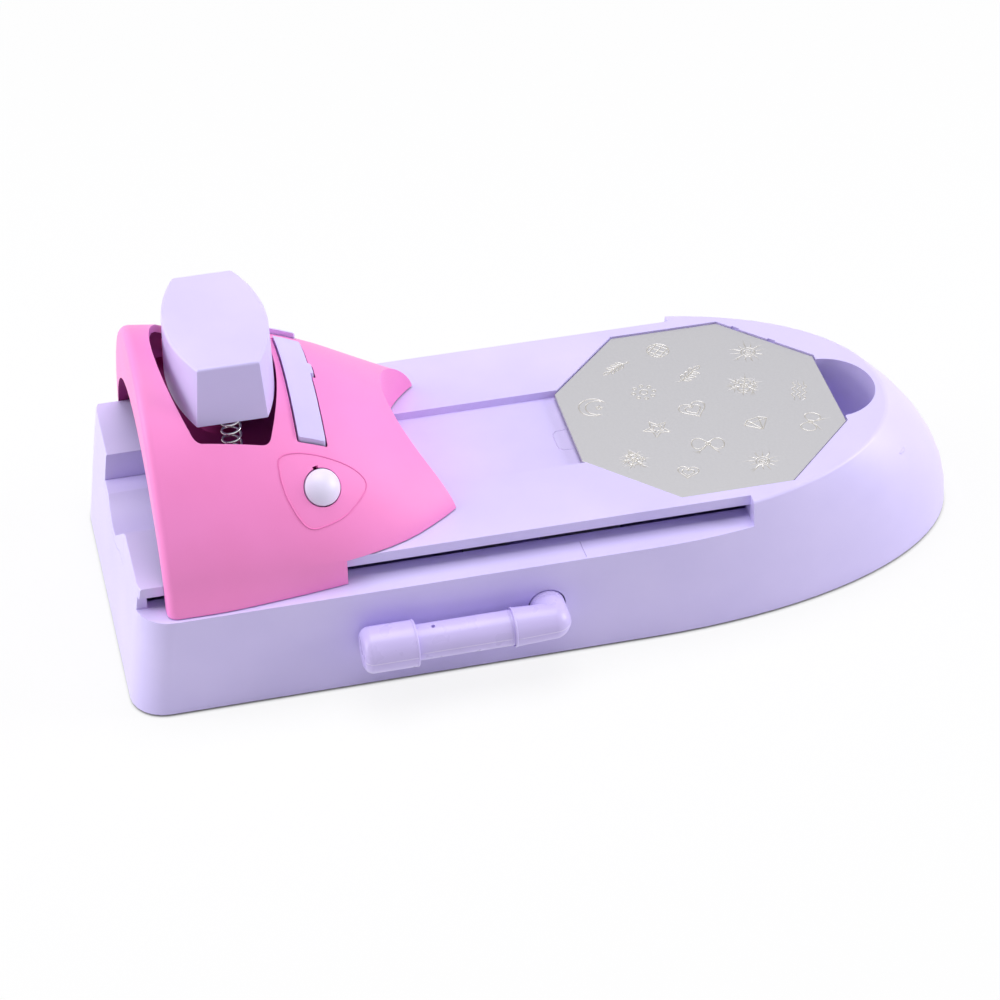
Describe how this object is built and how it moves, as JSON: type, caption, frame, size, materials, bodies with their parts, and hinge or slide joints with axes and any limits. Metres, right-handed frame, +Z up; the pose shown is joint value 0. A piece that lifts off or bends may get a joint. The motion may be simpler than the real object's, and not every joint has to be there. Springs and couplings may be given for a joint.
{
  "type": "nail art printer",
  "caption": "Long base with a sliding stamp carriage, a press knob on springs, an engraved pattern plate and a side crank that drives the carriage.",
  "frame": {"origin": "middle of the base's underside, on the plane that the rubber feet stand on", "axes": "+X along the base towards the rounded nose, +Z up, the crank on the -Y side"},
  "size_m": [0.2554, 0.1175, 0.0968],
  "materials": {
    "lavender": "satin",
    "knob_lavender": "satin",
    "pink": "satin",
    "white_plastic": "matte",
    "steel": "brushed",
    "plate_steel": "fine brushed",
    "spring_steel": "bright",
    "silicone": "soft matte",
    "rubber": "matte"
  },
  "bodies": {
    "base": {"base_shell": "lavender", "finger_rest": "lavender", "bottom_cover": "lavender", "rubber_feet": "rubber", "cover_screws": "steel", "rest_screws": "steel", "gearbox_frame": "white_plastic", "gearbox_screws": "steel", "idler_axle": "steel"},
    "carriage": {"carriage_shell": "pink", "slider_frame": "white_plastic", "rack": "white_plastic", "rack_screws": "steel", "stamp_bridge": "pink", "bridge_screws": "steel", "button_cup_front": "pink", "button_cup_rear": "pink", "button_spring_front": "spring_steel", "button_spring_rear": "spring_steel", "stamp_spring_front": "spring_steel", "stamp_spring_rear": "spring_steel", "scraper_spring_front": "spring_steel", "scraper_spring_rear": "spring_steel"},
    "stamp": {"push_knob": "knob_lavender", "stamp_stem": "white_plastic", "stamp_holder": "knob_lavender", "stamp_pad": "silicone"},
    "scraper": {"scraper_holder": "knob_lavender", "scraper_blade": "steel"},
    "button_front": {"side_button_front": "knob_lavender"},
    "button_rear": {"side_button_rear": "knob_lavender"},
    "crank": {"crank_shaft": "lavender", "crank_elbow": "lavender", "crank_arm": "lavender", "crank_cap": "lavender", "crank_gear": "white_plastic", "shaft_clip": "steel"},
    "idler": {"idler_gear": "white_plastic"},
    "plate": {"pattern_plate": "plate_steel"}
  },
  "joints": [
    {"name": "carriage_slide", "type": "slide", "parent": "base", "child": "carriage", "axis": [1, 0, 0], "range_m": [0, 0.1131]},
    {"name": "crank_turn", "type": "hinge", "parent": "base", "child": "crank", "pos_m": [-0.0085, 0, 0.0189], "axis": [0, 1, 0], "range_deg": [0, 180]},
    {"name": "idler_turn", "type": "hinge", "parent": "base", "child": "idler", "pos_m": [0.0075, 0, 0.0189], "axis": [0, 1, 0], "range_deg": [-540, 0]},
    {"name": "stamp_press", "type": "slide", "parent": "carriage", "child": "stamp", "axis": [0, 0, -1], "range_m": [0, 0.01], "stiffness_N_per_m": 400, "springref_m": -0.004, "deforming": ["stamp_spring_front", "stamp_spring_rear"]},
    {"name": "scraper_press", "type": "slide", "parent": "carriage", "child": "scraper", "axis": [0, 0, -1], "range_m": [0, 0.0022], "stiffness_N_per_m": 600, "springref_m": -0.002, "deforming": ["scraper_spring_front", "scraper_spring_rear"]},
    {"name": "button_front_press", "type": "slide", "parent": "carriage", "child": "button_front", "axis": [-0.224, 0.7326, -0.6428], "range_m": [0, 0.0018], "stiffness_N_per_m": 600, "springref_m": -0.001},
    {"name": "button_rear_press", "type": "slide", "parent": "carriage", "child": "button_rear", "axis": [-0.224, -0.7326, -0.6428], "range_m": [0, 0.0018], "stiffness_N_per_m": 600, "springref_m": -0.001},
    {"name": "plate_lift", "type": "slide", "parent": "base", "child": "plate", "axis": [0, 0, -1], "range_m": [-0.012, 0]}
  ],
  "couplings": [
    {"joint": "crank_turn", "follows": "carriage_slide", "rad_per_m": 27.778},
    {"joint": "idler_turn", "follows": "carriage_slide", "rad_per_m": -83.333}
  ]
}
